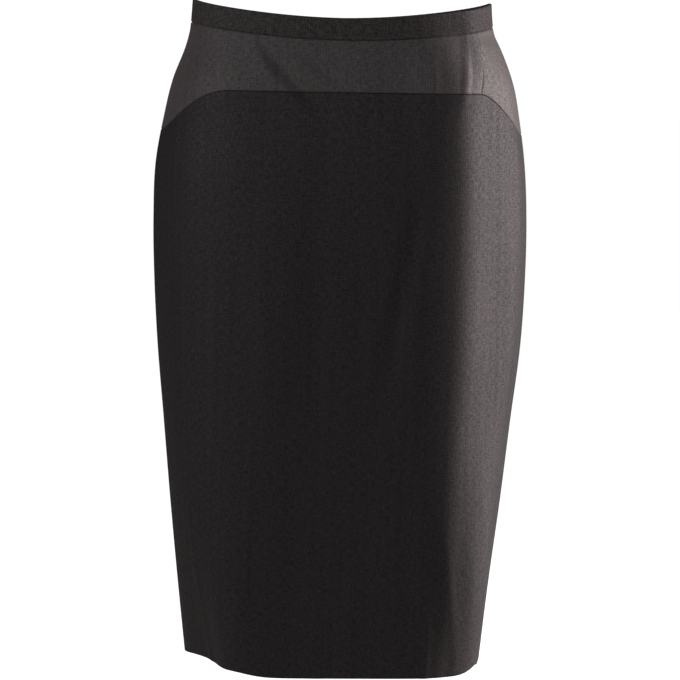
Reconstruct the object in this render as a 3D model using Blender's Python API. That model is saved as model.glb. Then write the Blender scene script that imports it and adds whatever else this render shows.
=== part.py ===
"""Pencil skirt, filled out as it hangs when it is worn.

A narrow shaped waistband, a fitted hip yoke and a straight skirt that narrows to the hem, closed at
the centre back by a concealed zip, with a walking vent below it. Metres, +Z up. The front faces -Y
and the wearer's left side is at +X. The origin is the middle of the waist, level with the top edge
at the centre front.

A place on the cloth is given by its turn and its drop. The turn goes round the body: 0 at the centre
front, 1 at the left side seam, -1 at the right side seam and 2 or -2 at the centre back. The drop is
the distance below the origin.
"""

import math

import bmesh
import bpy
import numpy as np
from mathutils import Matrix, Vector

NAME = "pencil_skirt"

# ---- cloth and seams ----
CLOTH = 0.0014
BAND_CLOTH = 0.0026
SEAM_GAP = 0.0003

# ---- the edges of the pieces, as drops ----
SIDE_RISE = 0.0155
RISE_EASE = 0.75
BAND_HEIGHT = 0.0198
BAND_SIDE_EXTRA = 0.0018
YOKE_DROP = 0.0652
YOKE_SIDE_FALL = 0.0385
YOKE_FALL_LEFT = (0.55, 0.95)
YOKE_FALL_RIGHT = (0.49, 1.00)
LENGTH = 0.5940
HEM_LIFTS = (
    # turn, spread, lift
    (-0.78, 0.27, 0.0082),
    (-0.46, 0.09, 0.0024),
    (0.69, 0.075, 0.0068),
)

# ---- the form: one level in each row ----
# front and back are how far the cloth stands out from the plane of the side seams. A higher flat
# value makes the front or back flatter and its corners squarer, and side_round rounds the side.
# sway moves the front and the sides towards the wearer's left, and not the centre back.
SECTIONS = (
    # drop, half_width, front, back, front_flat, back_flat, side_round, sway
    (-0.020, 0.1361, 0.0895, 0.0930, 2.8, 2.4, 2.30, -0.0019),
    (0.002, 0.1376, 0.0908, 0.0948, 2.9, 2.4, 2.28, -0.0018),
    (0.012, 0.1388, 0.0916, 0.0960, 3.2, 2.4, 2.20, -0.0015),
    (0.026, 0.1439, 0.0932, 0.0985, 3.9, 2.4, 2.00, 0.0002),
    (0.057, 0.1559, 0.0985, 0.1050, 4.8, 2.4, 1.70, 0.0005),
    (0.093, 0.1638, 0.1040, 0.1130, 4.4, 2.4, 1.52, 0.0),
    (0.130, 0.1696, 0.1080, 0.1200, 4.2, 2.4, 1.50, -0.0006),
    (0.185, 0.1722, 0.1100, 0.1250, 4.0, 2.5, 1.49, 0.0001),
    (0.241, 0.1714, 0.1100, 0.1240, 4.0, 2.6, 1.48, 0.0007),
    (0.296, 0.1685, 0.1085, 0.1195, 4.3, 2.7, 1.48, 0.0010),
    (0.369, 0.1612, 0.1050, 0.1120, 4.9, 2.9, 1.47, 0.0003),
    (0.443, 0.1539, 0.1015, 0.1045, 6.2, 3.1, 1.46, -0.0003),
    (0.517, 0.1457, 0.0980, 0.0985, 8.2, 3.3, 1.42, -0.0011),
    (0.600, 0.1372, 0.0955, 0.0945, 6.5, 3.5, 1.37, -0.0006),
)

# ---- the largest folds: a ridge has a push outwards, a trough one inwards ----
# Each runs from one turn and drop to another and is deepest half way.
FOLDS = (
    # name, turn_0, drop_0, turn_1, drop_1, half_width, push
    ("left front hollow", 0.647, -0.300, 0.601, 0.760, 0.203, -0.0055),
    ("left waist", 0.635, -0.085, 0.635, 0.085, 0.203, 0.0036),
    ("left hem corner", 0.666, 0.250, 0.654, 0.950, 0.176, 0.0067),
    ("left yoke ridge", 0.560, 0.004, 0.440, 0.096, 0.035, 0.0008),
    ("right hem trough", -0.630, 0.360, -0.729, 0.820, 0.292, -0.0108),
    ("left trough below the yoke", 0.765, 0.082, 0.755, 0.220, 0.075, -0.0020),
    ("right waist crease", -0.470, 0.004, -0.030, 0.100, 0.070, -0.0029),
    ("right thigh hollow", -0.125, 0.080, -0.112, 0.460, 0.090, -0.0018),
    ("left thigh hollow", 0.345, 0.060, 0.070, 0.440, 0.075, -0.0028),
)

# ---- the centre back ----
BAND_END_INSET = 0.0013
ZIP_LENGTH = 0.190
TAPE_WIDTH = 0.0130
TAPE_CLOTH = 0.0007
TAPE_START = 0.0020
TAPE_CLEAR = 0.0004
TAPE_CLOSES_IN = 0.0070
COIL_HEIGHT = 0.0012
COIL_COLUMNS = 1
SLIDER_DROP = 0.0075
SLIDER_TALL = 0.0090
SLIDER_WIDE = 0.0064
SLIDER_INNER = 0.0024
PLATE_WIDE = 0.0046
PLATE_THICK = 0.0010
NECK_WIDE = 0.0014
SLIDER_TAPER = 0.88
BAIL_BAR = 0.0005
BAIL_RADIUS = 0.0016
BAIL_OFF = 0.0022
PULL_THICK = 0.0010
PULL_EYE = 0.0032
PULL_EYE_HALF = 0.0012
PULL_LEAN = math.radians(7)
PULL_SHAPE = (
    # distance from the hinge, half width
    (-0.0005, 0.0016),
    (0.0004, 0.0022),
    (0.0030, 0.0023),
    (0.0060, 0.0017),
    (0.0100, 0.0019),
    (0.0150, 0.0026),
    (0.0195, 0.0031),
    (0.0220, 0.0029),
    (0.0236, 0.0019),
    (0.0240, 0.0008),
)
VENT_HEIGHT = 0.165
VENT_LAP = 0.038
VENT_TUCK = 0.006
VENT_SHORT = 0.002
VENT_LIFT = 0.0014
VENT_LIFT_WIDTH = 0.10
VENT_LIFT_FULL = 0.6

# ---- how finely the cloth is cut into faces ----
FRONT_COLUMNS = 40
BACK_COLUMNS = 20
BAND_ROWS = 2
YOKE_ROWS = 5
SKIRT_ROWS = 22
TAPE_GRID = (5, 14)
TAPE_ROWS_CROWD = 1.6
UNDERLAP_GRID = (5, 8)
CURVE_STEPS = 48
LENGTH_LEVELS = 32
LENGTH_STEPS = 60
TURN_STEP = 0.002
LEAN_STEP = 0.001
SHARP_EDGE = math.radians(40)

CHARCOAL_SUITING = ((0.018, 0.016, 0.017, 1.0), 0.92, 0.0)
GREY_SUITING = ((0.034, 0.030, 0.030, 1.0), 0.92, 0.0)
ZIP_TAPE = ((0.012, 0.012, 0.013, 1.0), 0.80, 0.0)
ZIP_METAL = ((0.050, 0.050, 0.052, 1.0), 0.35, 1.0)


def clear_scene():
    for thing in list(bpy.data.objects):
        bpy.data.objects.remove(thing, do_unlink=True)


def collection(name):
    made = bpy.data.collections.new(name)
    bpy.context.scene.collection.children.link(made)
    return made


def material(name, finish):
    colour, roughness, metallic = finish
    made = bpy.data.materials.new(name)
    made.use_nodes = True
    surface = made.node_tree.nodes["Principled BSDF"]
    surface.inputs["Base Color"].default_value = colour
    surface.inputs["Roughness"].default_value = roughness
    surface.inputs["Metallic"].default_value = metallic
    made.diffuse_color = colour
    return made


def smooth_step(share):
    share = np.clip(share, 0.0, 1.0)
    return share * share * (3.0 - 2.0 * share)


def sections_at(drop):
    """Every column of SECTIONS at each drop, on smooth curves through the rows."""
    table = np.array(SECTIONS)
    levels, values = table[:, 0], table[:, 1:]
    slopes = np.gradient(values, levels, axis=0)
    row = np.clip(np.searchsorted(levels, drop) - 1, 0, len(levels) - 2)
    step = (levels[row + 1] - levels[row])[:, None]
    w = (drop[:, None] - levels[row][:, None]) / step
    found = (
        (2 * w**3 - 3 * w**2 + 1) * values[row]
        + (w**3 - 2 * w**2 + w) * step * slopes[row]
        + (3 * w**2 - 2 * w**3) * values[row + 1]
        + (w**3 - w**2) * step * slopes[row + 1]
    )
    return found.T


def form_points(turn, drop):
    """x and y of the plain form, where equal turns are equal lengths of cloth at one level."""
    half_width, front, back, front_flat, back_flat, side_round, sway = sections_at(drop)
    turn = (turn + 2.0) % 4.0 - 2.0
    at_front = np.abs(turn) <= 1.0
    travel = np.where(at_front, np.abs(turn), 2.0 - np.abs(turn))
    depth = np.where(at_front, -front, back)
    flat = np.where(at_front, front_flat, back_flat)

    def curve(t):
        out = 1.0 - (1.0 - t) ** side_round[:, None]
        away = np.clip(1.0 - out ** flat[:, None], 0.0, 1.0) ** (1.0 / side_round[:, None])
        return half_width[:, None] * out, depth[:, None] * away

    steps = np.linspace(0.0, 1.0, CURVE_STEPS + 1)[None, :].repeat(len(turn), axis=0)
    x, y = curve(steps)
    length = np.cumsum(np.hypot(np.diff(x), np.diff(y)), axis=1)
    length = np.hstack([np.zeros((len(turn), 1)), length])
    goal = travel * length[:, -1]
    step = np.clip((length <= goal[:, None]).sum(axis=1) - 1, 0, CURVE_STEPS - 1)
    each = np.arange(len(turn))
    before, after = length[each, step], length[each, step + 1]
    t = (step + (goal - before) / (after - before)) / CURVE_STEPS
    x, y = curve(t[:, None])
    to_middle = smooth_step(2.0 - np.abs(turn))
    return np.sign(turn) * x[:, 0] + sway * to_middle, y[:, 0]


def fold_push(turn, drop):
    """How far the folds push the cloth out at each place."""
    push = np.zeros(len(turn))
    for _, turn_0, drop_0, turn_1, drop_1, half_width, out in FOLDS:
        along = (drop - drop_0) / (drop_1 - drop_0)
        across = (turn - turn_0 - (turn_1 - turn_0) * along) / half_width
        inside = (np.abs(across) < 1.0) & (along > 0.0) & (along < 1.0)
        shape = np.cos(across * math.pi / 2) ** 2 * np.sin(along * math.pi) ** 2
        push += np.where(inside, out * shape, 0.0)
    return push


def cloth_points(turn, drop, depth):
    """Places on the cloth, depth behind its outer face, level with that face."""
    x, y = form_points(turn, drop)
    x_after, y_after = form_points(turn + TURN_STEP, drop)
    x_before, y_before = form_points(turn - TURN_STEP, drop)
    run_x, run_y = x_after - x_before, y_after - y_before
    size = np.hypot(run_x, run_y)
    out = fold_push(turn, drop) - depth
    return np.stack([x + out * run_y / size, y - out * run_x / size, -drop], axis=1)


def back_length(drop):
    """The length of cloth from a side seam to the centre back at each drop."""
    levels = np.linspace(SECTIONS[0][0], SECTIONS[-1][0], LENGTH_LEVELS)
    turns = np.linspace(1.0, 2.0, LENGTH_STEPS)
    lengths = []
    for level in levels:
        x, y = form_points(turns, np.full(len(turns), level))
        lengths.append(np.hypot(np.diff(x), np.diff(y)).sum())
    return np.interp(drop, levels, lengths)


def waist_edge(turn):
    side = 1.0 - np.abs(1.0 - np.abs(turn))
    return -SIDE_RISE * side**2 * (1.0 + RISE_EASE - RISE_EASE * side**2)


def band_seam(turn):
    side = 1.0 - np.abs(1.0 - np.abs(turn))
    return waist_edge(turn) + BAND_HEIGHT + BAND_SIDE_EXTRA * side**4


def yoke_seam(turn):
    start = np.where(turn > 0.0, YOKE_FALL_LEFT[0], YOKE_FALL_RIGHT[0])
    end = np.where(turn > 0.0, YOKE_FALL_LEFT[1], YOKE_FALL_RIGHT[1])
    return YOKE_DROP + YOKE_SIDE_FALL * smooth_step((np.abs(turn) - start) / (end - start))


def hem_edge(turn):
    lifted = [lift * np.exp(-(((turn - at) / spread) ** 2)) for at, spread, lift in HEM_LIFTS]
    return LENGTH - sum(lifted)


def wall_body(name, columns, rows, place, group, finish):
    """A closed wall of cloth: place gives the points of its outer and its inner face."""
    bm = bmesh.new()
    bmesh.ops.create_grid(bm, x_segments=columns, y_segments=rows, size=0.5)
    share = bm.verts.layers.float_vector.new("share")
    for vert in bm.verts:
        vert[share] = (vert.co.x + 0.5, 0.5 - vert.co.y, 0.0)
    walls = bmesh.ops.extrude_face_region(bm, geom=bm.faces[:], use_keep_orig=True)
    for part in walls["geom"]:
        if isinstance(part, bmesh.types.BMVert):
            part[share] = (part[share].x, part[share].y, 1.0)
    shares = np.array([vert[share] for vert in bm.verts])
    for vert, point in zip(bm.verts, place(*shares.T)):
        vert.co = point
    bmesh.ops.recalc_face_normals(bm, faces=bm.faces[:])
    bm.verts.layers.float_vector.remove(share)
    mesh = bpy.data.meshes.new(name)
    bm.to_mesh(mesh)
    bm.free()
    mesh.shade_smooth()
    mesh.set_sharp_from_angle(angle=SHARP_EDGE)
    body = bpy.data.objects.new(name, mesh)
    mesh.materials.append(finish)
    group.objects.link(body)
    return body


def panel(name, turns, edges, grid, wall, group, finish, lift=None):
    """One cut piece between two turns and two edges, with the seam gap round it."""
    first, last = turns
    upper, lower = edges

    def place(across, down, inner):
        turn = first + (last - first) * across
        top, bottom = upper(turn) + SEAM_GAP / 2, lower(turn) - SEAM_GAP / 2
        drop = top + (bottom - top) * down
        raised = lift(turn, drop) if lift else 0.0
        return cloth_points(turn, drop, wall * inner - raised)

    return wall_body(name, *grid, place, group, finish)


def vent_lift(turn, drop):
    """The free edge of the vent stands off the underlap."""
    to_edge = smooth_step((turn - 2.0 + VENT_LIFT_WIDTH) / VENT_LIFT_WIDTH)
    below = smooth_step((drop - LENGTH + VENT_HEIGHT) / (VENT_LIFT_FULL * VENT_HEIGHT))
    return VENT_LIFT * to_edge * below


def make_cloth(group):
    charcoal = material("charcoal_suiting", CHARCOAL_SUITING)
    grey = material("grey_suiting", GREY_SUITING)
    seam = SEAM_GAP / 2 / back_length(BAND_HEIGHT)
    band_end = BAND_END_INSET / back_length(0.0)
    pieces = (
        ("waistband", waist_edge, band_seam, BAND_ROWS, BAND_CLOTH, band_end, charcoal),
        ("yoke", band_seam, yoke_seam, YOKE_ROWS, CLOTH, seam, grey),
        ("skirt", yoke_seam, hem_edge, SKIRT_ROWS, CLOTH, seam, charcoal),
    )
    for name, upper, lower, rows, wall, end, finish in pieces:
        edges = (upper, lower)
        front = (-1.0 + seam, 1.0 - seam)
        left = (1.0 + seam, 2.0 - end)
        right = (-2.0 + end, -1.0 - seam)
        lift = vent_lift if name == "skirt" else None
        panel(f"{name}_front", front, edges, (FRONT_COLUMNS, rows), wall, group, finish)
        panel(f"{name}_back_left", left, edges, (BACK_COLUMNS, rows), wall, group, finish, lift)
        panel(f"{name}_back_right", right, edges, (BACK_COLUMNS, rows), wall, group, finish)


def make_vent_underlap(group):
    """The strip behind the vent, cut on to the right back."""
    behind = CLOTH + SEAM_GAP
    charcoal = bpy.data.materials["charcoal_suiting"]

    def place(across, down, inner):
        drop = LENGTH - VENT_HEIGHT + (VENT_HEIGHT - VENT_SHORT) * down
        away = VENT_LAP - (VENT_LAP + VENT_TUCK) * across
        return cloth_points(2.0 - away / back_length(drop), drop, behind + CLOTH * inner)

    wall_body("vent_underlap", *UNDERLAP_GRID, place, group, charcoal)


def make_zip_tapes(group):
    """Two tapes sewn behind the centre-back seam, with the coil along their meeting edges."""
    finish = material("zip_tape", ZIP_TAPE)
    slider_foot = SLIDER_DROP + SLIDER_TALL / 2 + TAPE_CLEAR
    for side, sign in (("left", 1.0), ("right", -1.0)):

        def place(across, down, inner, sign=sign):
            drop = TAPE_START + (ZIP_LENGTH - TAPE_START) * down**TAPE_ROWS_CROWD
            parted = 1.0 - smooth_step((drop - slider_foot) / TAPE_CLOSES_IN)
            edge = SEAM_GAP / 2 + (SLIDER_WIDE / 2 + TAPE_CLEAR) * parted
            away = edge + (TAPE_WIDTH - edge) * across
            below_band = smooth_step((drop - BAND_HEIGHT - TAPE_CLEAR) / TAPE_CLOSES_IN)
            behind = SEAM_GAP + BAND_CLOTH + (CLOTH - BAND_CLOTH) * below_band
            coil = COIL_HEIGHT * (across < (COIL_COLUMNS + 0.5) / TAPE_GRID[0])
            turn = sign * (2.0 - away / back_length(drop))
            return cloth_points(turn, drop, behind + (TAPE_CLOTH + coil) * inner)

        wall_body(f"zip_tape_{side}", *TAPE_GRID, place, group, finish)


def centre_back(drop, out):
    """The place at the centre back, out from the cloth's outer face, and the cloth's lean there."""
    here, below = cloth_points(np.array([2.0, 2.0]), np.array([drop, drop + LEAN_STEP]), 0.0)
    lean = math.atan2(below[1] - here[1], here[2] - below[2])
    return Vector((0.0, here[1] + out * math.cos(lean), here[2] + out * math.sin(lean))), lean


def link(name, data, group, finish, place):
    data.materials.append(finish)
    thing = bpy.data.objects.new(name, data)
    thing.matrix_world = place
    group.objects.link(thing)
    return thing


def make_bail(helpers, finish, place):
    """The bent bar over the slider's plate that carries the pull, as a closed mesh."""
    legs = PLATE_THICK / 2
    bar = bpy.data.curves.new("bail_bar", "CURVE")
    bar.dimensions = "3D"
    bar.bevel_depth = BAIL_BAR
    bar.bevel_resolution = 2
    bar.use_fill_caps = True
    bends = [math.radians(angle) for angle in range(-90, 91, 15)]
    arc = [(BAIL_OFF + BAIL_RADIUS * math.cos(a), BAIL_RADIUS * math.sin(a)) for a in bends]
    route = [(legs, -BAIL_RADIUS), *arc, (legs, BAIL_RADIUS)]
    spline = bar.splines.new("POLY")
    spline.points.add(len(route) - 1)
    for point, (out, up) in zip(spline.points, route):
        point.co = (0.0, out, up, 1.0)
    holder = link("bail_curve", bar, helpers, finish, place)
    depsgraph = bpy.context.evaluated_depsgraph_get()
    solid = bpy.data.meshes.new_from_object(holder.evaluated_get(depsgraph))
    bpy.data.objects.remove(holder)
    bm = bmesh.new()
    bm.from_mesh(solid)
    bmesh.ops.remove_doubles(bm, verts=bm.verts[:], dist=0.00001)
    bmesh.ops.recalc_face_normals(bm, faces=bm.faces[:])
    bm.to_mesh(solid)
    bm.free()
    bail = bpy.data.objects.new("bail", solid)
    bail.matrix_world = place
    bail.hide_render = True
    bail.display_type = "WIRE"
    helpers.objects.link(bail)
    return bail


def make_zip_slider(group, helpers):
    """A plate outside the seam and a wider one inside it on one thin neck, with a bail for the pull."""
    finish = material("zip_metal", ZIP_METAL)
    middle, lean = centre_back(SLIDER_DROP, SEAM_GAP)
    place = Matrix.Translation(middle) @ Matrix.Rotation(lean, 4, "X")
    inner_face = -(BAND_CLOTH + 2 * SEAM_GAP)
    half_outline = (
        (PLATE_WIDE / 2, PLATE_THICK),
        (PLATE_WIDE / 2, 0.0),
        (NECK_WIDE / 2, 0.0),
        (NECK_WIDE / 2, inner_face),
        (SLIDER_WIDE / 2, inner_face),
        (SLIDER_WIDE / 2, inner_face - SLIDER_INNER),
    )
    outline = list(half_outline) + [(-x, y) for x, y in reversed(half_outline)]
    bm = bmesh.new()
    rim = [bm.verts.new((x, y, -SLIDER_TALL / 2)) for x, y in outline]
    base = bm.faces.new(rim)
    tall = bmesh.ops.extrude_face_region(bm, geom=[base], use_keep_orig=True)
    risen = [part for part in tall["geom"] if isinstance(part, bmesh.types.BMVert)]
    bmesh.ops.translate(bm, verts=risen, vec=(0.0, 0.0, SLIDER_TALL))
    bmesh.ops.scale(bm, verts=rim, vec=(SLIDER_TAPER, 1.0, 1.0))
    bmesh.ops.recalc_face_normals(bm, faces=bm.faces[:])
    mesh = bpy.data.meshes.new("zip_slider")
    bm.to_mesh(mesh)
    bm.free()
    slider = link("zip_slider", mesh, group, finish, place)
    union = slider.modifiers.new("bail", "BOOLEAN")
    union.operation = "UNION"
    union.solver = "EXACT"
    union.object = make_bail(helpers, finish, place)
    return place @ Vector((0.0, BAIL_OFF, 0.0))


def make_zip_pull(group, axis_point):
    """A flat tab hung on the bail by its eye, with its origin on the hinge's axis."""
    tab = bpy.data.curves.new("zip_pull", "CURVE")
    tab.dimensions = "2D"
    tab.fill_mode = "BOTH"
    tab.extrude = PULL_THICK / 2
    right = [(half_width, -distance) for distance, half_width in PULL_SHAPE]
    hole = ((PULL_EYE_HALF, -PULL_THICK / 2), (PULL_EYE_HALF, -PULL_EYE))
    for side in (right, hole):
        outline = list(side) + [(-x, y) for x, y in reversed(side)]
        spline = tab.splines.new("POLY")
        spline.points.add(len(outline) - 1)
        for point, (x, y) in zip(spline.points, outline):
            point.co = (x, y, 0.0, 1.0)
        spline.use_cyclic_u = True
    place = Matrix.Translation(axis_point) @ Matrix.Rotation(math.pi / 2 + PULL_LEAN, 4, "X")
    link("zip_pull", tab, group, bpy.data.materials["zip_metal"], place)


def main():
    clear_scene()
    group = collection(NAME)
    helpers = collection("helpers")
    make_cloth(group)
    make_vent_underlap(group)
    make_zip_tapes(group)
    axis_point = make_zip_slider(group, helpers)
    make_zip_pull(group, axis_point)


main()
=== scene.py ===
"""Pencil skirt in wool suiting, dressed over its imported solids, in the order in which it is sewn.

Metres, +Z up, the front towards -Y and the wearer's left towards +X. A place on the cloth is
given by its turn and its drop. The turn is 0 at the centre front, 1 at the left side seam, -1 at
the right one and 2 or -2 at the centre back. The drop is the distance below the top edge at the
centre front.
"""

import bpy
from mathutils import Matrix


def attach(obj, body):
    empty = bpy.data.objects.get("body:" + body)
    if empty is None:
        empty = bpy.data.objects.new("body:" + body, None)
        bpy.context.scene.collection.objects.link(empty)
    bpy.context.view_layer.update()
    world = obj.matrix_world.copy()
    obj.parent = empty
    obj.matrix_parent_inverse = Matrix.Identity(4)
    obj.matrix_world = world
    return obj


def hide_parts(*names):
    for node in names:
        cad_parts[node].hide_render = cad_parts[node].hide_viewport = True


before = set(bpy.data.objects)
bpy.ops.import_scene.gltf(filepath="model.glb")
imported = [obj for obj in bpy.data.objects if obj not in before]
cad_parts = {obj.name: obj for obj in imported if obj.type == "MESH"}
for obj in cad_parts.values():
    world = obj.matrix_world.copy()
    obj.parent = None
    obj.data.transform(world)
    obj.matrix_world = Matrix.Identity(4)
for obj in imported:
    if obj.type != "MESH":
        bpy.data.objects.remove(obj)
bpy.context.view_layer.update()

import math

import bmesh
import bpy
import numpy as np
from mathutils import Matrix, Vector

# ---- Skirt front ----
# One panel of charcoal wool suiting from the yoke seam to the hem, in a plain weave with a little
# pale fibre spun into it. It hangs from the hips, and its edges turn in at the seams and the hem.

SECTIONS = (
    # drop, half_width, front, back, front_flat, back_flat, side_round, sway
    (-0.020, 0.1361, 0.0895, 0.0930, 2.8, 2.4, 2.30, -0.0019),
    (0.002, 0.1376, 0.0908, 0.0948, 2.9, 2.4, 2.28, -0.0018),
    (0.012, 0.1388, 0.0916, 0.0960, 3.2, 2.4, 2.20, -0.0015),
    (0.026, 0.1439, 0.0932, 0.0985, 3.9, 2.4, 2.00, 0.0002),
    (0.057, 0.1559, 0.0985, 0.1050, 4.8, 2.4, 1.70, 0.0005),
    (0.093, 0.1638, 0.1040, 0.1130, 4.4, 2.4, 1.52, 0.0),
    (0.130, 0.1696, 0.1080, 0.1200, 4.2, 2.4, 1.50, -0.0006),
    (0.185, 0.1722, 0.1100, 0.1250, 4.0, 2.5, 1.49, 0.0001),
    (0.241, 0.1714, 0.1100, 0.1240, 4.0, 2.6, 1.48, 0.0007),
    (0.296, 0.1685, 0.1085, 0.1195, 4.3, 2.7, 1.48, 0.0010),
    (0.369, 0.1612, 0.1050, 0.1120, 4.9, 2.9, 1.47, 0.0003),
    (0.443, 0.1539, 0.1015, 0.1045, 6.2, 3.1, 1.46, -0.0003),
    (0.517, 0.1457, 0.0980, 0.0985, 8.2, 3.3, 1.42, -0.0011),
    (0.600, 0.1372, 0.0955, 0.0945, 6.5, 3.5, 1.37, -0.0006),
)
FOLDS = (
    # name, turn_0, drop_0, turn_1, drop_1, half_width, push
    ("left front hollow", 0.647, -0.300, 0.601, 0.760, 0.203, -0.0055),
    ("left waist", 0.635, -0.085, 0.635, 0.085, 0.203, 0.0036),
    ("left hem corner", 0.666, 0.250, 0.654, 0.950, 0.176, 0.0067),
    ("left yoke ridge", 0.560, 0.004, 0.440, 0.096, 0.035, 0.0008),
    ("right hem trough", -0.630, 0.360, -0.729, 0.820, 0.292, -0.0108),
    ("left trough below the yoke", 0.765, 0.082, 0.755, 0.220, 0.075, -0.0020),
    ("right waist crease", -0.470, 0.004, -0.030, 0.100, 0.070, -0.0029),
    ("right thigh hollow", -0.125, 0.080, -0.112, 0.460, 0.090, -0.0018),
    ("left thigh hollow", 0.345, 0.060, 0.070, 0.440, 0.075, -0.0028),
)
CREASES = (
    # name, turn_0, drop_0, turn_1, drop_1, half_width, push
    ("right thigh ridge", -0.275, 0.040, -0.335, 0.560, 0.150, 0.0014),
    ("hem ripple right", -0.74, 0.400, -0.66, 0.680, 0.030, 0.0007),
    ("left hem line", 0.610, 0.390, 0.715, 0.600, 0.028, 0.0006),
    ("hem ripple left", 0.370, 0.460, 0.410, 0.720, 0.035, 0.0009),
    ("yoke streak", 0.372, 0.018, 0.325, 0.088, 0.030, 0.0007),
    ("second yoke crease", -0.310, 0.020, 0.100, 0.078, 0.045, -0.0011),
    ("left waist ridge", 0.600, -0.035, 0.640, 0.080, 0.110, 0.0018),
    ("yoke middle hollow", 0.200, -0.010, 0.200, 0.105, 0.160, -0.0022),
    ("hem ripple middle", -0.08, 0.450, -0.12, 0.700, 0.060, 0.0005),
    ("back right hollow", -1.62, 0.120, -1.45, 0.420, 0.120, -0.0012),
    ("back left hollow", 1.52, 0.140, 1.64, 0.400, 0.110, -0.0010),
    ("back right ripple", -1.38, 0.360, -1.42, 0.720, 0.060, 0.0009),
    ("back left ripple", 1.35, 0.380, 1.30, 0.740, 0.050, 0.0008),
    ("side ripple", 1.08, 0.240, 1.12, 0.640, 0.070, 0.0008),
)
CRISP_CREASES = (
    # name, turn_0, drop_0, turn_1, drop_1, half_width, push
    ("left yoke edge", 0.654, -0.040, 0.446, 0.090, 0.055, 0.0004),
    ("right yoke crease", -0.471, 0.008, -0.261, 0.078, 0.045, 0.0013),
    ("left hem edge", 0.400, 0.420, 0.600, 0.660, 0.085, 0.0011),
)
CLOTH = 0.0014
SEAM_GAP = 0.0003
SEWN_IN = 0.0001
SEWN_TURN = 0.0005
YOKE_DROP = 0.0652
YOKE_SIDE_FALL = 0.0385
YOKE_FALL_LEFT = (0.55, 0.95)
YOKE_FALL_RIGHT = (0.49, 1.00)
LENGTH = 0.5940
HEM_LIFTS = (
    # turn, spread, lift
    (-0.78, 0.27, 0.0082),
    (-0.46, 0.09, 0.0024),
    (0.69, 0.075, 0.0068),
)
HEM_TURNED_UP = 0.040
HEM_EXTRA = 0.0004
HEM_STEP = 0.0015
SEAM_ROLL = (0.0012, 0.0002)
FOLD_ROLL = (0.0013, 0.0004)
EDGE_LINES = (0.0, 0.00015, 0.0004, 0.0008, 0.0013, 0.0026)
EDGE_MARGIN = 0.005
FINE_SPACING = 0.0005
LINES_APART = 0.0001
CURVE_STEPS = 48
TURN_STEP = 0.002
LENGTH_LEVELS = np.linspace(-0.020, 0.600, 32)
LENGTH_STEPS = 60
WARP_THREAD = (820.0, 190.0)  # threads and slubs to the metre, across the cloth and down it
WEFT_THREAD = (190.0, 820.0)
STREAK = (180.0, 5.0)
FLECK = (560.0, 420.0)
RIBS = 1250.0
STREAK_SHARE = 0.3
RIB_SHARE = 0.35
THREAD_SPAN = (0.77, 1.53)
FLECK_SPAN = (0.76, 0.88)
ROUGHNESS_SPAN = (0.70, 0.54)
SHEEN_ROUGHNESS = 0.45
SHEEN_TINT = (1.0, 0.90, 0.90, 1.0)
RELIEF = (0.35, 0.0003)  # the bump's strength and its height


def smooth_step(share):
    share = np.clip(share, 0.0, 1.0)
    return share * share * (3.0 - 2.0 * share)


def sections_at(drop):
    """Every column of SECTIONS at each drop, on smooth curves through the rows."""
    table = np.array(SECTIONS)
    levels, values = table[:, 0], table[:, 1:]
    slopes = np.gradient(values, levels, axis=0)
    row = np.clip(np.searchsorted(levels, drop) - 1, 0, len(levels) - 2)
    step = (levels[row + 1] - levels[row])[:, None]
    w = (drop[:, None] - levels[row][:, None]) / step
    found = (
        (2 * w**3 - 3 * w**2 + 1) * values[row]
        + (w**3 - 2 * w**2 + w) * step * slopes[row]
        + (3 * w**2 - 2 * w**3) * values[row + 1]
        + (w**3 - w**2) * step * slopes[row + 1]
    )
    return found.T


def form_points(turn, drop):
    """x and y of the plain form, where equal turns are equal lengths of cloth at one level."""
    half_width, front, back, front_flat, back_flat, side_round, sway = sections_at(drop)
    turn = (turn + 2.0) % 4.0 - 2.0
    at_front = np.abs(turn) <= 1.0
    travel = np.where(at_front, np.abs(turn), 2.0 - np.abs(turn))
    depth = np.where(at_front, -front, back)
    flat = np.where(at_front, front_flat, back_flat)

    def curve(t):
        out = 1.0 - (1.0 - t) ** side_round[:, None]
        away = np.clip(1.0 - out ** flat[:, None], 0.0, 1.0) ** (1.0 / side_round[:, None])
        return half_width[:, None] * out, depth[:, None] * away

    steps = np.linspace(0.0, 1.0, CURVE_STEPS + 1)[None, :].repeat(len(turn), axis=0)
    x, y = curve(steps)
    length = np.cumsum(np.hypot(np.diff(x), np.diff(y)), axis=1)
    length = np.hstack([np.zeros((len(turn), 1)), length])
    goal = travel * length[:, -1]
    step = np.clip((length <= goal[:, None]).sum(axis=1) - 1, 0, CURVE_STEPS - 1)
    each = np.arange(len(turn))
    before, after = length[each, step], length[each, step + 1]
    t = (step + (goal - before) / (after - before)) / CURVE_STEPS
    x, y = curve(t[:, None])
    to_middle = smooth_step(2.0 - np.abs(turn))
    return np.sign(turn) * x[:, 0] + sway * to_middle, y[:, 0]


def creased(turn, drop):
    """How far the folds and the smaller creases push the cloth out at each place."""
    push = np.zeros(len(turn))
    for fold in FOLDS + CREASES + CRISP_CREASES:
        _, turn_0, drop_0, turn_1, drop_1, half_width, out = fold
        along = (drop - drop_0) / (drop_1 - drop_0)
        across = (turn - turn_0 - (turn_1 - turn_0) * along) / half_width
        inside = (np.abs(across) < 1.0) & (along > 0.0) & (along < 1.0)
        crisp = fold in CRISP_CREASES
        profile = (1.0 - np.abs(across)) ** 2 if crisp else np.cos(across * math.pi / 2) ** 2
        push += np.where(inside, out * profile * np.sin(along * math.pi) ** 2, 0.0)
    return push


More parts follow.
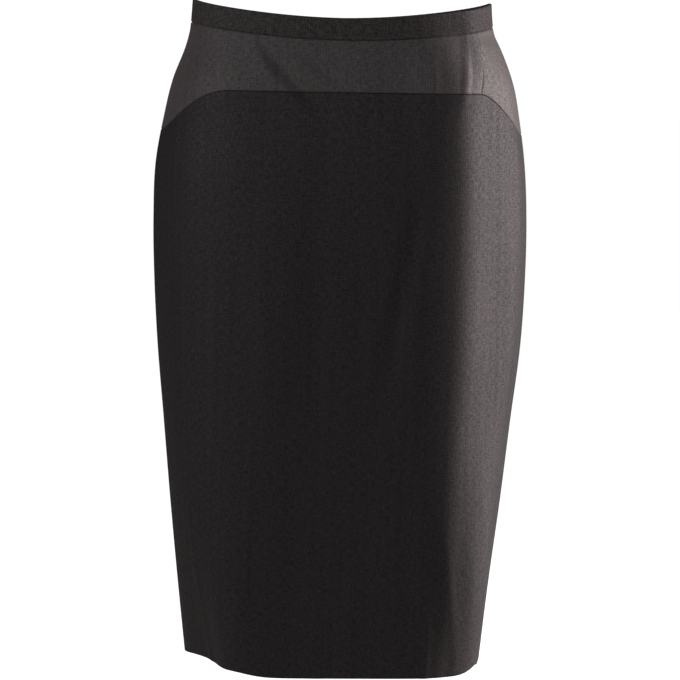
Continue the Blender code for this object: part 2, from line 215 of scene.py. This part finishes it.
def cloth_points(turn, drop, depth):
    """Places on the cloth, depth behind its outer face, level with that face."""
    x, y = form_points(turn, drop)
    x_after, y_after = form_points(turn + TURN_STEP, drop)
    x_before, y_before = form_points(turn - TURN_STEP, drop)
    run_x, run_y = x_after - x_before, y_after - y_before
    size = np.hypot(run_x, run_y)
    out = creased(turn, drop) - depth
    return np.stack([x + out * run_y / size, y - out * run_x / size, -drop], axis=1)


def quarter_lengths(side):
    """Cloth from the centre front or the centre back to a side seam, as a table over the drops."""
    turns = np.linspace(side, side + 1.0, LENGTH_STEPS)
    lengths = []
    for level in LENGTH_LEVELS:
        x, y = form_points(turns, np.full(LENGTH_STEPS, level))
        lengths.append(np.hypot(np.diff(x), np.diff(y)).sum())
    return LENGTH_LEVELS, np.array(lengths)


FRONT_LENGTHS = quarter_lengths(0.0)
BACK_LENGTHS = quarter_lengths(1.0)


def weave_map(turn, drop):
    """The cloth's own grain in metres: across from the centre front or back, and downwards."""
    in_front = np.abs(turn) <= 1.0
    to_middle = np.where(in_front, turn, np.sign(turn) * (np.abs(turn) - 2.0))
    length = np.where(in_front, np.interp(drop, *FRONT_LENGTHS), np.interp(drop, *BACK_LENGTHS))
    return np.stack([to_middle * length, -drop], axis=1)


def yoke_seam(turn):
    """The drop of the seam between the yoke and the panels below it."""
    start = np.where(turn > 0.0, YOKE_FALL_LEFT[0], YOKE_FALL_RIGHT[0])
    end = np.where(turn > 0.0, YOKE_FALL_LEFT[1], YOKE_FALL_RIGHT[1])
    return YOKE_DROP + YOKE_SIDE_FALL * smooth_step((np.abs(turn) - start) / (end - start))


def hem_edge(turn):
    """The drop of the hem, which is lifted a little where the cloth stands off the leg."""
    lifted = [lift * np.exp(-(((turn - at) / spread) ** 2)) for at, spread, lift in HEM_LIFTS]
    return LENGTH - sum(lifted)


def cloth_lines(length, spacing, fine=()):
    """Where a piece's mesh has its lines, as shares: close together at both edges and in fine."""
    edges = np.array(EDGE_LINES)
    count = max(2, round((length - 2 * EDGE_MARGIN) / spacing))
    middle = np.linspace(EDGE_MARGIN, length - EDGE_MARGIN, count + 1)
    close = [np.arange(low, high, FINE_SPACING) for low, high in fine]
    lines = np.sort(np.concatenate([edges, length - edges, middle, *close]))
    apart = np.concatenate([[True], np.diff(lines) > LINES_APART])
    return lines[apart] / length


def rolled(distance, radius):
    """How far a rounded edge of this radius falls away at a distance from its end."""
    return radius * (1.0 - np.sqrt(1.0 - np.clip(1.0 - distance / radius, 0.0, 1.0) ** 2))


def finished(bm, name, finish):
    """The piece as an object with its finish, smooth all over."""
    mesh = bpy.data.meshes.new(name)
    bm.to_mesh(mesh)
    bm.free()
    mesh.shade_smooth()
    mesh.materials.append(finish)
    piece = bpy.data.objects.new(name, mesh)
    bpy.context.scene.collection.objects.link(piece)
    return piece


def cut_cloth(name, across_lines, down_lines, place, finish):
    """A closed wall of cloth on a grid: place gives its points and its weave's map."""
    columns, rows = len(across_lines) - 1, len(down_lines) - 1
    bm = bmesh.new()
    bmesh.ops.create_grid(bm, x_segments=columns, y_segments=rows, size=0.5)
    share = bm.verts.layers.float_vector.new("share")
    for vert in bm.verts:
        column = round((vert.co.x + 0.5) * columns)
        row = round((0.5 - vert.co.y) * rows)
        vert[share] = (across_lines[column], down_lines[row], 0.0)
    walls = bmesh.ops.extrude_face_region(bm, geom=bm.faces[:], use_keep_orig=True)
    for part in walls["geom"]:
        if isinstance(part, bmesh.types.BMVert):
            part[share] = (part[share].x, part[share].y, 1.0)
    points, weave = place(*np.array([vert[share] for vert in bm.verts]).T)
    for vert, point in zip(bm.verts, points):
        vert.co = point
    bmesh.ops.recalc_face_normals(bm, faces=bm.faces[:])
    if bm.calc_volume(signed=True) < 0.0:
        bmesh.ops.reverse_faces(bm, faces=bm.faces[:])
    bm.verts.layers.float_vector.remove(share)
    piece = finished(bm, name, finish)
    corners = np.zeros(len(piece.data.loops), dtype=np.int32)
    piece.data.loops.foreach_get("vertex_index", corners)
    piece.data.uv_layers.new(name="weave").data.foreach_set("uv", weave[corners].ravel())
    return piece


def sew_panel(name, turns, edges, size, spacing, wall, rolls, finish, fine=(), carve=None):
    """One cut piece between two turns and two edges. Its top, bottom, first and last side are
    rolled over by an outer and an inner radius each."""
    first, last = turns
    upper, lower = edges
    width, height = size

    def place(across, down, inner):
        turn = first + (last - first) * across
        top, bottom = upper(turn) - SEWN_IN, lower(turn) + SEWN_IN
        drop = top + (bottom - top) * down
        sides = (down * height, (1.0 - down) * height, across * width, (1.0 - across) * width)
        dips = np.zeros((2, len(turn)))
        for distance, radii in zip(sides, rolls):
            for dip, radius in zip(dips, radii):
                dip[:] = np.maximum(dip, rolled(distance, radius))
        carved = carve(turn, drop, inner) if carve else 0.0
        depth = np.where(inner > 0.5, wall - dips[1], dips[0]) + carved
        return cloth_points(turn, drop, depth), weave_map(turn, drop)

    across_lines = cloth_lines(width, spacing[0], fine)
    down_lines = cloth_lines(height, spacing[1])
    return cut_cloth(name, across_lines, down_lines, place, finish)


def suiting(name, colour, pale, contrast, sheen, shine):
    """Plain-weave wool suiting: crossing threads of slightly different greys, with pale fibres."""
    made = bpy.data.materials.new(name)
    made.use_nodes = True
    nodes, links = made.node_tree.nodes, made.node_tree.links
    surface = nodes["Principled BSDF"]
    surface.inputs["Specular IOR Level"].default_value = shine
    surface.inputs["Sheen Weight"].default_value = sheen
    surface.inputs["Sheen Roughness"].default_value = SHEEN_ROUGHNESS
    surface.inputs["Sheen Tint"].default_value = SHEEN_TINT
    weave = nodes.new("ShaderNodeUVMap")
    weave.uv_map = "weave"

    def yarn(counts, detail):
        scaled = nodes.new("ShaderNodeMapping")
        scaled.inputs["Scale"].default_value = counts + (1.0,)
        links.new(weave.outputs["UV"], scaled.inputs["Vector"])
        noise = nodes.new("ShaderNodeTexNoise")
        noise.noise_dimensions = "2D"
        noise.inputs["Scale"].default_value = 1.0
        noise.inputs["Detail"].default_value = detail
        links.new(scaled.outputs["Vector"], noise.inputs["Vector"])
        return noise.outputs["Fac"]

    def combine(operation, first, second):
        node = nodes.new("ShaderNodeMath")
        node.operation = operation
        for socket, value in zip(node.inputs, (first, second)):
            if isinstance(value, float):
                socket.default_value = value
            else:
                links.new(value, socket)
        return node.outputs[0]

    def tint(factor, low, high):
        ramp = nodes.new("ShaderNodeMix")
        ramp.data_type = "RGBA"
        links.new(factor, ramp.inputs["Factor"])
        for socket, value in zip((ramp.inputs[6], ramp.inputs[7]), (low, high)):
            if isinstance(value, tuple):
                socket.default_value = value
            else:
                links.new(value, socket)
        return ramp.outputs[2]

    def span(value, low, high, to_low=0.0, to_high=1.0):
        node = nodes.new("ShaderNodeMapRange")
        node.inputs["From Min"].default_value = low
        node.inputs["From Max"].default_value = high
        node.inputs["To Min"].default_value = to_low
        node.inputs["To Max"].default_value = to_high
        links.new(value, node.inputs["Value"])
        return node.outputs["Result"]

    crossed = combine("ADD", yarn(WARP_THREAD, 1.0), yarn(WEFT_THREAD, 1.0))
    threads = combine("ADD", crossed, combine("MULTIPLY", yarn(STREAK, 1.0), STREAK_SHARE))
    dark = tuple((1.0 - contrast) * c for c in colour) + (1.0,)
    light = tuple((1.0 + contrast) * c for c in colour) + (1.0,)
    body = tint(span(threads, *THREAD_SPAN), dark, light)
    flecks = span(yarn(FLECK, 0.0), *FLECK_SPAN)
    links.new(tint(flecks, body, pale + (1.0,)), surface.inputs["Base Color"])
    roughness = span(threads, *THREAD_SPAN, *ROUGHNESS_SPAN)
    links.new(roughness, surface.inputs["Roughness"])

    ribs = nodes.new("ShaderNodeTexChecker")
    ribs.inputs["Scale"].default_value = RIBS
    links.new(weave.outputs["UV"], ribs.inputs["Vector"])
    height = combine("ADD", combine("MULTIPLY", ribs.outputs["Fac"], RIB_SHARE), threads)
    bump = nodes.new("ShaderNodeBump")
    bump.inputs["Strength"].default_value, bump.inputs["Distance"].default_value = RELIEF
    links.new(height, bump.inputs["Height"])
    links.new(bump.outputs["Normal"], surface.inputs["Normal"])
    return made


def dress(piece, node):
    """The piece stands for its solid and moves with the skirt."""
    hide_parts(node)
    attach(piece, "skirt")


def turned_up(turn, drop, inner):
    """The hem's second layer inside, blind-stitched 40 mm up."""
    up = smooth_step((drop - hem_edge(turn) + HEM_TURNED_UP) / HEM_STEP)
    return HEM_EXTRA * up * inner


charcoal = suiting(
    "charcoal_suiting", colour=(0.0130, 0.0112, 0.0116), pale=(0.030, 0.027, 0.027),
    contrast=0.60, sheen=0.03, shine=0.27,
)
front_turns = (-1.0 - SEWN_TURN, 1.0 + SEWN_TURN)
panel_cut = {
    "edges": (yoke_seam, hem_edge),
    "spacing": (0.0030, 0.0040),
    "wall": CLOTH,
    "rolls": (SEAM_ROLL, FOLD_ROLL, SEAM_ROLL, SEAM_ROLL),
    "finish": charcoal,
}
skirt_front = sew_panel(
    "skirt_front_cloth", front_turns, size=(0.470, 0.529), carve=turned_up, **panel_cut
)
dress(skirt_front, "skirt_front")

# ---- Skirt backs and the walking vent ----
# Two panels that meet at the centre back under the zip. Below the vent's top the left back laps
# over an underlap cut on to the right back, and its folded edge stands a little off it. A bar of
# stitches through both holds the vent's top.

VENT_HEIGHT = 0.165
VENT_LAP = 0.038
VENT_TUCK = 0.006
VENT_SHORT = 0.002
VENT_LIFT = 0.0014
VENT_LIFT_WIDTH = 0.10
VENT_LIFT_FULL = 0.6
UNDERLAP_WIDTH = VENT_LAP + VENT_TUCK
UNDERLAP_HEIGHT = VENT_HEIGHT - VENT_SHORT
UNDERLAP_FOLD = 0.0006


def vent_edge(turn, drop, inner):
    """The vent's free edge stands off, over the hem's second layer."""
    to_edge = smooth_step((turn - 2.0 + VENT_LIFT_WIDTH) / VENT_LIFT_WIDTH)
    below = smooth_step((drop - LENGTH + VENT_HEIGHT) / (VENT_LIFT_FULL * VENT_HEIGHT))
    return turned_up(turn, drop, inner) * (1.0 - to_edge) - VENT_LIFT * to_edge * below


back_turns = {
    "left": (1.0 - SEWN_TURN, 2.0 + SEWN_TURN),
    "right": (-2.0 - SEWN_TURN, -1.0 + SEWN_TURN),
}
for side, carve in (("left", vent_edge), ("right", turned_up)):
    back = sew_panel(
        f"skirt_back_{side}_cloth", back_turns[side], size=(0.225, 0.492), carve=carve, **panel_cut
    )
    dress(back, f"skirt_back_{side}")


def underlap_place(across, down, inner):
    """The underlap lies a seam's gap behind the left back, from its free edge to its tuck."""
    drop = LENGTH - VENT_HEIGHT + UNDERLAP_HEIGHT * down
    away = VENT_LAP - UNDERLAP_WIDTH * across
    turn = 2.0 - away / np.interp(drop, *BACK_LENGTHS)
    folded = rolled(across * UNDERLAP_WIDTH, UNDERLAP_FOLD)
    depth = CLOTH + SEAM_GAP + np.where(inner > 0.5, CLOTH - folded, folded)
    return cloth_points(turn, drop, depth), weave_map(turn, drop)


underlap_lines = (cloth_lines(UNDERLAP_WIDTH, 0.0030), cloth_lines(UNDERLAP_HEIGHT, 0.0050))
underlap = cut_cloth("vent_underlap_cloth", *underlap_lines, underlap_place, charcoal)
dress(underlap, "vent_underlap")

STITCH_LENGTH = 0.0022
STITCH_PITCH = 0.0032
STITCH_THICK = 0.0005
BAR_SLOPE = 0.40
SPECKLES = 1800.0
SPECKLE_SHADES = (0.8, 1.25)
SPECKLE_RELIEF = (0.1, 0.0001)


def speckled(name, colour, roughness, metallic):
    """A plain finish with a fine, faint speckle: spun thread, nylon or lacquered metal."""
    made = bpy.data.materials.new(name)
    made.use_nodes = True
    nodes, links = made.node_tree.nodes, made.node_tree.links
    surface = nodes["Principled BSDF"]
    surface.inputs["Metallic"].default_value = metallic
    surface.inputs["Roughness"].default_value = roughness
    place = nodes.new("ShaderNodeTexCoord")
    noise = nodes.new("ShaderNodeTexNoise")
    noise.inputs["Scale"].default_value = SPECKLES
    noise.inputs["Detail"].default_value = 2.0
    links.new(place.outputs["Object"], noise.inputs["Vector"])
    mix = nodes.new("ShaderNodeMix")
    mix.data_type = "RGBA"
    for socket, shade in zip((mix.inputs[6], mix.inputs[7]), SPECKLE_SHADES):
        socket.default_value = tuple(shade * c for c in colour) + (1.0,)
    links.new(noise.outputs["Fac"], mix.inputs["Factor"])
    links.new(mix.outputs[2], surface.inputs["Base Color"])
    bump = nodes.new("ShaderNodeBump")
    bump.inputs["Strength"].default_value, bump.inputs["Distance"].default_value = SPECKLE_RELIEF
    links.new(noise.outputs["Fac"], bump.inputs["Height"])
    links.new(bump.outputs["Normal"], surface.inputs["Normal"])
    return made


thread = speckled("sewing_thread", (0.0300, 0.0275, 0.0280), roughness=0.60, metallic=0.0)
reaches = STITCH_PITCH * np.arange(int(VENT_LAP / STITCH_PITCH))
bar_ends = []
for reach in (reaches, reaches + STITCH_LENGTH):
    drops = LENGTH - VENT_HEIGHT + BAR_SLOPE * reach
    turns = 2.0 - (STITCH_PITCH + reach) / np.interp(drops, *BACK_LENGTHS)
    bar_ends.append(cloth_points(turns, drops, -STITCH_THICK / 4))
bm = bmesh.new()
for start, end in zip(*bar_ends):
    run = Vector(end - start)
    stitch = bmesh.ops.create_uvsphere(bm, u_segments=8, v_segments=6, radius=0.5)["verts"]
    bmesh.ops.scale(bm, vec=(run.length, STITCH_THICK, STITCH_THICK), verts=stitch)
    bmesh.ops.rotate(bm, matrix=run.to_track_quat("X", "Z").to_matrix(), verts=stitch)
    bmesh.ops.translate(bm, vec=Vector((start + end) / 2), verts=stitch)
stitches = finished(bm, "vent_stitches", thread)
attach(stitches, "skirt")

# ---- Hip yoke ----
# A fitted yoke in a lighter grey of the same suiting, seamed on above the panels in a curve that
# falls towards the hips, with a dart in each half of the front and of the back.

SIDE_RISE = 0.0155
RISE_EASE = 0.75
BAND_HEIGHT = 0.0198
BAND_SIDE_EXTRA = 0.0018
DARTS = (
    # turn at the seam, drop there, turn at the point, drop there, depth
    (0.566, 0.0660, 0.632, 0.0240, 0.0005),
    (-0.556, 0.0670, -0.615, 0.0300, 0.0002),
    (1.560, 0.1050, 1.545, 0.0300, 0.0004),
    (-1.560, 0.1050, -1.545, 0.0300, 0.0004),
)
DART_HALF_WIDTH = 0.0011
DART_OPENS = 0.3
DART_DEEPENS = 0.5
DART_FULLNESS = 0.7
FULL_BEYOND = 0.10
FULL_LENGTH = 0.35
FULL_HALF_WIDTH = 0.012
YOKE_QUARTER = 0.215


def waist_edge(turn):
    """The drop of the waist's edge, which rises towards the side seams."""
    side = 1.0 - np.abs(1.0 - np.abs(turn))
    return -SIDE_RISE * side**2 * (1.0 + RISE_EASE - RISE_EASE * side**2)


def band_seam(turn):
    """The drop of the seam between the waistband and the yoke."""
    side = 1.0 - np.abs(1.0 - np.abs(turn))
    return waist_edge(turn) + BAND_HEIGHT + BAND_SIDE_EXTRA * side**4


def darted(turn, drop, inner):
    """Each dart is a sewn groove that fades out at its point, where the cloth is a little full."""
    depth = np.zeros(len(turn))
    for seam_turn, seam_drop, point_turn, point_drop, groove in DARTS:
        along = (drop - point_drop) / (seam_drop - point_drop)
        away = (turn - point_turn - (seam_turn - point_turn) * along) * YOKE_QUARTER
        sewn = np.exp(-((away / DART_HALF_WIDTH) ** 2))
        sewn = sewn * smooth_step((along - DART_OPENS) / DART_DEEPENS)
        past_point = ((along + FULL_BEYOND) / FULL_LENGTH) ** 2
        full = np.exp(-((away / FULL_HALF_WIDTH) ** 2) - past_point)
        depth += groove * (sewn - DART_FULLNESS * full)
    return depth


grey = suiting(
    "grey_suiting", colour=(0.0350, 0.0308, 0.0313), pale=(0.060, 0.055, 0.055),
    contrast=0.42, sheen=0.14, shine=0.44,
)
yoke_cut = {
    "edges": (band_seam, yoke_seam),
    "wall": CLOTH,
    "rolls": (SEAM_ROLL,) * 4,
    "finish": grey,
    "carve": darted,
}
yoke_front = sew_panel(
    "yoke_front_cloth", front_turns, size=(0.450, 0.060), spacing=(0.0030, 0.0022),
    fine=((0.072, 0.104), (0.318, 0.380)), **yoke_cut,
)
dress(yoke_front, "yoke_front")
for side, turns in back_turns.items():
    back = sew_panel(
        f"yoke_back_{side}_cloth", turns, size=(0.215, 0.092), spacing=(0.0030, 0.0030),
        fine=((0.088, 0.128),), **yoke_cut,
    )
    dress(back, f"yoke_back_{side}")

# ---- Waistband ----
# A narrow band of the charcoal suiting, folded over an interfacing at its top edge and cut to the
# curve of the waist, in a front and two backs that leave room for the zip's slider between them.

BAND_CLOTH = 0.0026
BAND_END_INSET = 0.0013
BAND_TOP_ROLL = (0.0005, 0.0005)
BAND_SEAM_ROLL = (0.0020, 0.0004)

band_charcoal = suiting(
    "pressed_charcoal", colour=(0.0362, 0.0332, 0.0328), pale=(0.060, 0.055, 0.055),
    contrast=0.50, sheen=0.06, shine=0.08,
)
band_end = BAND_END_INSET / np.interp(0.0, *BACK_LENGTHS)
band_rolls = (BAND_TOP_ROLL, BAND_SEAM_ROLL, SEAM_ROLL, SEAM_ROLL)
for part, turns, width in (
    ("front", front_turns, 0.375),
    ("back_left", (1.0 - SEWN_TURN, 2.0 - band_end), 0.186),
    ("back_right", (-2.0 + band_end, -1.0 + SEWN_TURN), 0.186),
):
    band = sew_panel(
        f"waistband_{part}_cloth", turns, edges=(waist_edge, band_seam), size=(width, 0.020),
        spacing=(0.0040, 0.0020), wall=BAND_CLOTH, rolls=band_rolls, finish=band_charcoal,
    )
    dress(band, f"waistband_{part}")

# ---- Concealed zip ----
# Two woven tapes sewn behind the centre-back seam, each with a coil of nylon teeth on its meeting
# edge, and a small lacquered slider whose tab hangs outside. The tapes part round the slider.

ZIP_LENGTH = 0.190
TAPE_WIDTH = 0.0130
TAPE_CLOTH = 0.0007
TAPE_START = 0.0020
TAPE_CLEAR = 0.0004
TAPE_CLOSES_IN = 0.0070
SLIDER_DROP = 0.0075
SLIDER_TALL = 0.0090
SLIDER_WIDE = 0.0064
COIL_PITCH = 0.0012
COIL_RADIUS = 0.0005
COIL_SHAPE = (1.4, 1.0, 0.85)
COIL_REACH = 0.0012
COIL_OFF = 0.0001
COIL_EDGE = 0.0014
TAPE_CUT = (0.0118, ZIP_LENGTH - TAPE_START)
METAL_EDGE = 0.00012
METAL_WELD = 0.00001
METAL_FLAT = 0.02  # radians: faces this nearly level become one
METAL_CORNER = 1.0  # radians: edges sharper than this are eased


def tape_edge(drop):
    """How far a tape's meeting edge stands from the centre back, and how far behind the cloth."""
    foot = SLIDER_DROP + SLIDER_TALL / 2 + TAPE_CLEAR
    parted = 1.0 - smooth_step((drop - foot) / TAPE_CLOSES_IN)
    edge = SEAM_GAP / 2 + (SLIDER_WIDE / 2 + TAPE_CLEAR) * parted
    below_band = smooth_step((drop - BAND_HEIGHT - TAPE_CLEAR) / TAPE_CLOSES_IN)
    return edge, SEAM_GAP + BAND_CLOTH + (CLOTH - BAND_CLOTH) * below_band


tape_finish = suiting(
    "zip_tape", colour=(0.0120, 0.0120, 0.0130), pale=(0.020, 0.020, 0.021),
    contrast=0.40, sheen=0.10, shine=0.24,
)
tape_lines = (cloth_lines(TAPE_CUT[0], 0.0020), cloth_lines(TAPE_CUT[1], 0.0030))
coil_finish = speckled("zip_coil", (0.015, 0.015, 0.016), roughness=0.45, metallic=0.0)
metal_finish = speckled("zip_metal", (0.050, 0.050, 0.052), roughness=0.35, metallic=1.0)
for side, sign in (("left", 1.0), ("right", -1.0)):

    def tape_place(across, down, inner, sign=sign):
        drop = TAPE_START + TAPE_CUT[1] * down
        edge, behind = tape_edge(drop)
        away = edge + COIL_EDGE + (TAPE_WIDTH - edge - COIL_EDGE) * across
        turn = sign * (2.0 - away / np.interp(drop, *BACK_LENGTHS))
        return cloth_points(turn, drop, behind + TAPE_CLOTH * inner), weave_map(turn, drop)

    tape = cut_cloth(f"zip_tape_{side}_cloth", *tape_lines, tape_place, tape_finish)
    dress(tape, f"zip_tape_{side}")

    count = int(TAPE_CUT[1] / COIL_PITCH)
    drops = TAPE_START + COIL_PITCH * (np.arange(count) + 0.5)
    edge, behind = tape_edge(drops)
    turns = sign * (2.0 - (edge + COIL_REACH / 2) / np.interp(drops, *BACK_LENGTHS))
    middles = cloth_points(turns, drops, behind + COIL_RADIUS + COIL_OFF)
    bm = bmesh.new()
    for middle in middles:
        tooth = bmesh.ops.create_uvsphere(bm, u_segments=6, v_segments=4, radius=COIL_RADIUS)
        loop = tooth["verts"]
        bmesh.ops.scale(bm, vec=COIL_SHAPE, verts=loop)
        bmesh.ops.translate(bm, vec=Vector(middle), verts=loop)
    coil = finished(bm, f"zip_coil_{side}", coil_finish)
    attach(coil, "skirt")

for node, body in (("zip_slider", "skirt"), ("zip_pull", "zip_pull")):
    bm = bmesh.new()
    bm.from_mesh(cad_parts[node].data)
    bmesh.ops.remove_doubles(bm, verts=bm.verts[:], dist=METAL_WELD)
    bmesh.ops.dissolve_limit(bm, angle_limit=METAL_FLAT, verts=bm.verts[:], edges=bm.edges[:])
    joined = [edge for edge in bm.edges if len(edge.link_faces) == 2]
    sharp = [edge for edge in joined if edge.calc_face_angle(0.0) > METAL_CORNER]
    bmesh.ops.bevel(
        bm, geom=sharp, offset=METAL_EDGE, affect="EDGES", segments=2, profile=0.5,
        material=-1, clamp_overlap=True,
    )
    metal = finished(bm, f"{node}_lacquered", metal_finish)
    metal.data.set_sharp_from_angle(angle=math.radians(50))
    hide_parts(node)
    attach(metal, body)

# ---- Studio ----
# A wide pale floor where the wearer's feet would be, a tall strip light beside the skirt's left
# hip, three soft fills from the front and the other side, and a camera level with the waist.

FLOOR_DROP = 1.02
FLOOR_SIZE = 30.0
ROOM_LIGHT = 0.006
ROOM_SEEN = 1.05
SKIRT_MIDDLE = Vector((0.0, 0.0, -0.30))
CAMERA_PLACE = (-0.1587, -2.5952, 0.0)
CAMERA_LENS = 149.6
CAMERA_TURN = tuple(math.radians(angle) for angle in (3.5324, 6.5, 1.0))  # yaw, pitch, roll
LIGHTS = (
    # name, azimuth, height, distance, size, power, colour
    ("key_strip", 98.0, 0.15, 3.0, (0.8, 2.0), 167.0, (1.0, 0.88, 0.88)),
    ("corner_softbox", -45.0, 0.90, 2.5, (1.5, 1.5), 14.7, (1.0, 0.98, 0.99)),
    ("front_softbox", 0.0, 0.85, 2.3, (1.2, 1.2), 12.6, (1.0, 0.965, 0.975)),
    ("side_softbox", -80.0, 0.50, 2.3, (1.0, 1.0), 13.5, (1.0, 0.90, 0.92)),
)

floor_finish = bpy.data.materials.new("pale_floor")
floor_finish.use_nodes = True
nodes, links = floor_finish.node_tree.nodes, floor_finish.node_tree.links
paint = nodes["Principled BSDF"]
paint.inputs["Base Color"].default_value = (0.55, 0.55, 0.55, 1.0)
paint.inputs["Roughness"].default_value = 0.9
paint.inputs["Emission Color"].default_value = (1.0, 1.0, 1.0, 1.0)
seen = nodes.new("ShaderNodeLightPath")
links.new(seen.outputs["Is Camera Ray"], paint.inputs["Emission Strength"])
bm = bmesh.new()
bmesh.ops.create_grid(bm, x_segments=2, y_segments=2, size=FLOOR_SIZE)
bmesh.ops.translate(bm, vec=(0.0, 0.0, -FLOOR_DROP), verts=bm.verts[:])
floor = finished(bm, "studio_floor", floor_finish)

room = bpy.data.worlds.new("studio_room")
room.use_nodes = True
nodes, links = room.node_tree.nodes, room.node_tree.links
seen = nodes.new("ShaderNodeLightPath")
span = nodes.new("ShaderNodeMapRange")
span.inputs["To Min"].default_value = ROOM_LIGHT
span.inputs["To Max"].default_value = ROOM_SEEN
links.new(seen.outputs["Is Camera Ray"], span.inputs["Value"])
links.new(span.outputs["Result"], nodes["Background"].inputs["Strength"])
nodes["Background"].inputs["Color"].default_value = (1.0, 1.0, 1.0, 1.0)
bpy.context.scene.world = room


def softbox(name, azimuth, height, distance, size, power, colour):
    """A light panel aimed at the skirt: azimuth 0 is in front, 90 at the wearer's left."""
    light = bpy.data.lights.new(name, "AREA")
    light.shape = "RECTANGLE"
    light.size, light.size_y = size
    light.energy = power
    light.color = colour
    lamp = bpy.data.objects.new(name, light)
    turn = math.radians(azimuth)
    lamp.location = (distance * math.sin(turn), -distance * math.cos(turn), height)
    lamp.rotation_mode = "QUATERNION"
    lamp.rotation_quaternion = (SKIRT_MIDDLE - lamp.location).to_track_quat("-Z", "Y")
    bpy.context.scene.collection.objects.link(lamp)


for light_row in LIGHTS:
    softbox(*light_row)

camera = bpy.data.cameras.new("camera")
camera.sensor_width = 36.0
camera.lens = CAMERA_LENS
viewer = bpy.data.objects.new("camera", camera)
viewer.location = CAMERA_PLACE
yaw, pitch, roll = CAMERA_TURN
level = math.cos(pitch)
ahead = Vector((math.sin(yaw) * level, math.cos(yaw) * level, -math.sin(pitch)))
upright = ahead.to_track_quat("-Z", "Y").to_matrix()
viewer.rotation_mode = "QUATERNION"
viewer.rotation_quaternion = (upright @ Matrix.Rotation(roll, 3, "Z")).to_quaternion()
bpy.context.scene.collection.objects.link(viewer)
bpy.context.scene.camera = viewer
bpy.context.scene.view_settings.view_transform = "Standard"
